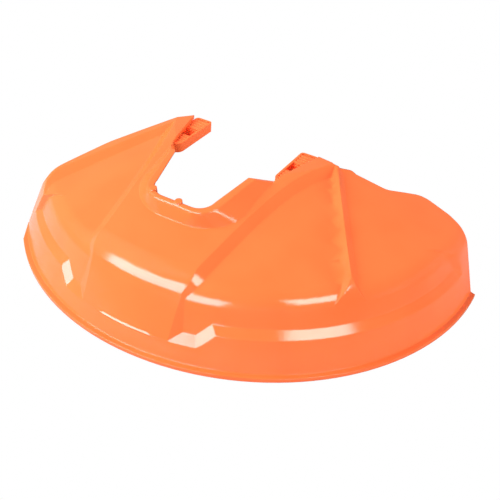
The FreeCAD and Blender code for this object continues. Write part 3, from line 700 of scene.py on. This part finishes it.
# %% [markdown]
# The guard stands on a plain white table that is so brightly lit that hardly any shadow shows. A floor
# bright enough for that would also flood the skirt with white reflections. So the camera sees a floor
# that glows, and everything else sees a pale sheet that darkens away from the guard: the Light Path node
# tells the two apart.

# %% Make the table's white
SHEET_NEAR = (0.45, 0.45, 0.45, 1)
SHEET_FAR = (0.25, 0.25, 0.25, 1)
SHEET_FADE = (0.2, 0.5)
SHEET_ROUGHNESS = 0.9
GLOW = 1.0


def camera_choice(tree, others, seen, end):
    """Give camera rays one shader output and all other rays another, at the tree's end socket."""
    ray = tree.nodes.new("ShaderNodeLightPath")
    choice = tree.nodes.new("ShaderNodeMixShader")
    tree.links.new(ray.outputs["Is Camera Ray"], choice.inputs["Fac"])
    tree.links.new(others, choice.inputs[1])
    tree.links.new(seen, choice.inputs[2])
    tree.links.new(choice.outputs["Shader"], end)


white = bpy.data.materials.new("table_white")
white.use_nodes = True
white_tree = white.node_tree
pale = white_tree.nodes["Principled BSDF"]
pale.inputs["Roughness"].default_value = SHEET_ROUGHNESS
sheet_place = white_tree.nodes.new("ShaderNodeTexCoord")
from_middle = white_tree.nodes.new("ShaderNodeVectorMath")
from_middle.operation = "LENGTH"
white_tree.links.new(sheet_place.outputs["Object"], from_middle.inputs[0])
fade = add_range(white_tree, from_middle.outputs["Value"], SHEET_FADE, (0.0, 1.0))
white_tree.links.new(add_mix(white_tree, fade, SHEET_NEAR, SHEET_FAR), pale.inputs["Base Color"])
glow = white_tree.nodes.new("ShaderNodeEmission")
glow.inputs["Strength"].default_value = GLOW
white_end = white_tree.nodes["Material Output"].inputs["Surface"]
camera_choice(white_tree, pale.outputs["BSDF"], glow.outputs["Emission"], white_end)
print("material", white.name, len(white_tree.nodes), "nodes")

# %% Lay the table
TABLE_SIZE = 60.0
TABLE_GAP = 0.05 * MM
SHEET_CORNERS = [(-0.5, -0.5), (0.5, -0.5), (0.5, 0.5), (-0.5, 0.5)]


def flat_sheet(name, middle, across, along, material):
    """Four-cornered sheet round a middle point, spanned by two vectors."""
    sheet = bpy.data.meshes.new(name)
    sheet.from_pydata([middle + across * x + along * y for x, y in SHEET_CORNERS], [], [(0, 1, 2, 3)])
    sheet.materials.append(material)
    return put_in_scene(name, sheet)


table_level = cad_box[0][2] - TABLE_GAP
table_middle = Vector((0, 0, table_level))
table = flat_sheet("table", table_middle, Vector((TABLE_SIZE, 0, 0)), Vector((0, TABLE_SIZE, 0)), white)
print("table at height", round(table_level, 5))

# %% [markdown]
# The highlights say what stood round the guard: a broad bright panel low at the front left, which shows
# in the saddle's shoulder and the steps of the band, and a smaller one high at the right, which shows on
# the ramp and the band's right half. Lamps in their place would also light the walls and flood them. So
# they are glowing sheets that only gloss mirrors, and their place can follow the picture. They aren't
# sampled as lamps, which makes less noise in shaded places.

# %% Set the panels
MIDDLE = Vector((0.02, -0.04, -0.025))
WHITE = (1, 1, 1, 1)
FAINT_LILAC = (1.0, 0.88, 1.0, 1)


def glow_panel(name, azimuth, elevation, distance, width, height, strength, tint):
    """Glowing sheet at these angles from the guard's middle, facing it, which only gloss mirrors."""
    glowing = bpy.data.materials.new(name)
    glowing.use_nodes = True
    tree = glowing.node_tree
    emission = tree.nodes.new("ShaderNodeEmission")
    emission.inputs["Color"].default_value = tint
    emission.inputs["Strength"].default_value = strength
    tree.links.new(emission.outputs["Emission"], tree.nodes["Material Output"].inputs["Surface"])
    glowing.cycles.emission_sampling = "NONE"
    towards = direction(azimuth, elevation)
    turn = towards.to_track_quat("Z", "Y").to_matrix()
    middle = MIDDLE + towards * distance
    panel = flat_sheet(name, middle, turn.col[0] * width, turn.col[1] * height, glowing)
    panel.visible_camera = False
    panel.visible_diffuse = False
    panel.visible_shadow = False
    return panel


left_box = glow_panel(
    "left_box", azimuth=-15, elevation=23, distance=1.3,
    width=1.45, height=0.55, strength=15.0, tint=FAINT_LILAC,
)
right_box = glow_panel(
    "right_box", azimuth=66, elevation=40, distance=1.3,
    width=0.58, height=0.39, strength=14.1, tint=WHITE,
)
print("panels", left_box.name, right_box.name)

# %% [markdown]
# The shading comes from three wide lamps that leave no highlight: a key from the left, because the left
# walls are the brightest, and two low ones from the front right and from behind.

# %% Set the lamps
def soft_lamp(name, azimuth, elevation, distance, width, height, power):
    """Area lamp at these angles from the guard's middle, turned to face it, that gloss doesn't mirror."""
    lamp = bpy.data.lights.new(name, "AREA")
    lamp.shape = "RECTANGLE"
    lamp.size = width
    lamp.size_y = height
    lamp.energy = power
    towards = direction(azimuth, elevation)
    holder = put_in_scene(name, lamp)
    holder.location = MIDDLE + towards * distance
    holder.rotation_euler = towards.to_track_quat("Z", "Y").to_euler()
    holder.visible_glossy = False
    return holder


lamps = [
    soft_lamp("key_lamp", azimuth=-57, elevation=41, distance=1.0, width=0.9, height=0.9, power=20.5),
    soft_lamp("front_lamp", azimuth=34, elevation=12, distance=1.6, width=1.6, height=0.6, power=11),
    soft_lamp("back_lamp", azimuth=118, elevation=9, distance=1.6, width=1.6, height=0.5, power=19),
]
print("lamps", [lamp.name for lamp in lamps])

# %% [markdown]
# The room round the table is a pale grey, so that the gloss has something soft to mirror everywhere. The
# camera sees it as white as the table, so a low view has no grey band above the table's far edge.

# %% Set the room
ROOM_GREY = (0.5, 0.5, 0.5, 1)
ROOM_STRENGTH = 0.7

room = bpy.data.worlds.new("pale_room")
room.use_nodes = True
room_tree = room.node_tree
mirrored = room_tree.nodes["Background"]
mirrored.inputs["Color"].default_value = ROOM_GREY
mirrored.inputs["Strength"].default_value = ROOM_STRENGTH
backdrop = room_tree.nodes.new("ShaderNodeBackground")
backdrop.inputs["Color"].default_value = WHITE
room_end = room_tree.nodes["World Output"].inputs["Surface"]
camera_choice(room_tree, mirrored.outputs["Background"], backdrop.outputs["Background"], room_end)
bpy.context.scene.world = room
print("room", room.name)
